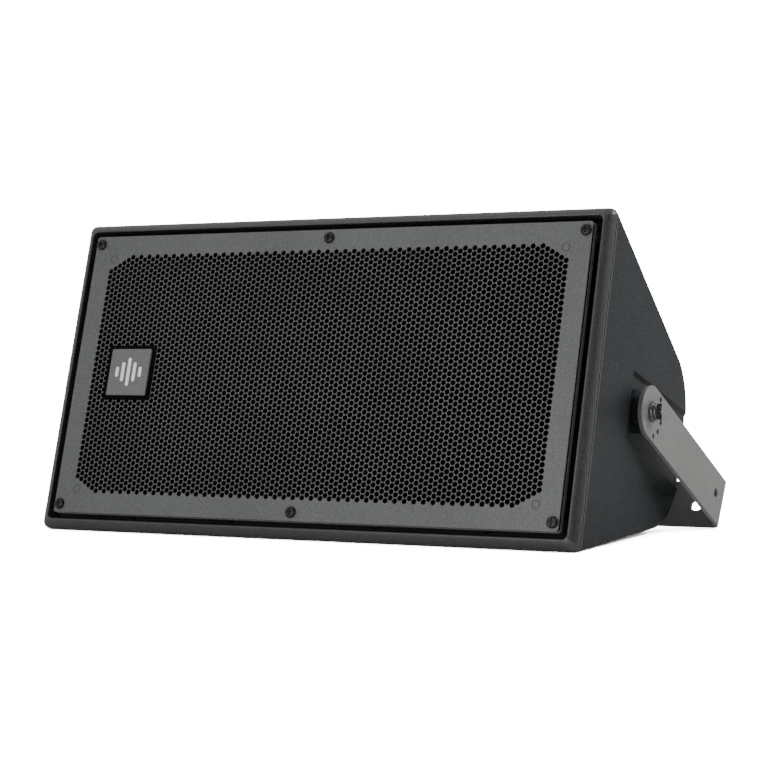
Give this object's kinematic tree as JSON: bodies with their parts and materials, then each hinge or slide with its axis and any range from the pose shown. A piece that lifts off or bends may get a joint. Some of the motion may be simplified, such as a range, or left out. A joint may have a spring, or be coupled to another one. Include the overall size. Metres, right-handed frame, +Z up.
{
  "type": "wedge loudspeaker with tilt bracket",
  "caption": "Wedge-shaped two-way loudspeaker with a perforated steel grille, held by a U-shaped bracket that tilts on side bolts.",
  "frame": {"origin": "on the floor, under the middle of the bounding box", "axes": "+X to the right seen from the front, +Y backwards (the grille faces -Y and slightly up), +Z up; the part stands on its front bottom edge and the bracket's heel"},
  "size_m": [0.5332, 0.3214, 0.267],
  "materials": {
    "cabinet_plastic": "fine moulded texture",
    "grille_paint": "satin powder coat",
    "black_foam": "open-cell foam",
    "black_steel": "black zinc",
    "black_rubber": "matt",
    "baffle_board": "black stained board",
    "badge_grey": "satin",
    "badge_black": "matt",
    "badge_white": "printed",
    "cast_alloy": "black painted casting",
    "ferrite": "sintered",
    "plated_steel": "zinc plated",
    "paper_cone": "coated paper",
    "spider_cloth": "resin-dipped cotton",
    "former_foil": "polyimide film",
    "copper_wire": "enamelled copper",
    "horn_plastic": "fine texture",
    "titanium_foil": "satin",
    "circuit_board": "solder mask",
    "capacitor_film": "wrapped film",
    "ceramic": "ceramic",
    "brass_insert": "turned",
    "polyester_wool": "loose fibre",
    "gland_nylon": "nylon",
    "bracket_paint": "satin powder coat",
    "bolt_steel": "dark zinc",
    "terminal_plastic": "nylon"
  },
  "bodies": {
    "cabinet": {"acoustic_wadding": "polyester_wool", "badge_base": "badge_black", "badge_mark": "badge_white", "badge_plate": "badge_grey", "baffle_gasket": "black_rubber", "baffle_screws": "black_steel", "cabinet_shell": "cabinet_plastic", "crossover_board": "circuit_board", "crossover_capacitors": "capacitor_film", "crossover_inductors": "copper_wire", "crossover_resistors": "ceramic", "crossover_screws": "plated_steel", "crossover_standoffs": "terminal_plastic", "driver_screws": "black_steel", "front_baffle": "baffle_board", "gland_bodies": "gland_nylon", "gland_caps": "gland_nylon", "gland_locknuts": "gland_nylon", "gland_seals": "black_rubber", "grille_foam": "black_foam", "grille_frame": "grille_paint", "grille_panel": "grille_paint", "grille_posts": "plated_steel", "grille_screws": "black_steel", "grille_studs": "plated_steel", "hf_clamp_ring": "terminal_plastic", "hf_cover_screws": "black_steel", "hf_driver_bolts": "bolt_steel", "hf_magnet": "ferrite", "hf_phase_plug": "horn_plastic", "hf_pole_plate": "plated_steel", "hf_rear_cover": "terminal_plastic", "hf_suspension": "spider_cloth", "hf_top_plate": "plated_steel", "horn_flare": "horn_plastic", "horn_gasket": "black_rubber", "pivot_bolts": "bolt_steel", "pivot_inserts": "brass_insert", "pivot_spacers": "black_rubber", "pivot_spring_washers": "bolt_steel", "pivot_washers": "bolt_steel", "rear_inserts": "brass_insert", "terminal_block": "terminal_plastic", "terminal_gasket": "black_rubber", "terminal_plate": "black_steel", "terminal_screws": "plated_steel", "woofer_back_plate": "plated_steel", "woofer_basket": "cast_alloy", "woofer_gasket": "black_rubber", "woofer_magnet": "ferrite", "woofer_spider": "spider_cloth", "woofer_surround": "black_rubber", "woofer_top_plate": "plated_steel"},
    "bracket": {"tilt_bracket": "bracket_paint"},
    "woofer_cone_unit": {"woofer_cone": "paper_cone", "woofer_dust_cap": "paper_cone", "woofer_coil_former": "former_foil", "woofer_voice_coil": "copper_wire"},
    "tweeter_dome_unit": {"hf_diaphragm": "titanium_foil", "hf_voice_coil": "copper_wire"}
  },
  "joints": [
    {"name": "bracket_tilt", "type": "hinge", "parent": "cabinet", "child": "bracket", "pos_m": [0, -0.01177, 0.10508], "axis": [1, 0, 0], "range_deg": [-87.35, 112.65]},
    {"name": "woofer_excursion", "type": "slide", "parent": "cabinet", "child": "woofer_cone_unit", "axis": [0, -0.9648, 0.2629], "range_m": [-0.004, 0.004], "stiffness_N_per_m": 2200, "deforming": ["woofer_surround", "woofer_spider"]},
    {"name": "tweeter_excursion", "type": "slide", "parent": "cabinet", "child": "tweeter_dome_unit", "axis": [0, -0.9648, 0.2629], "range_m": [-0.0004, 0.0004], "stiffness_N_per_m": 8000, "deforming": ["hf_suspension"]}
  ]
}
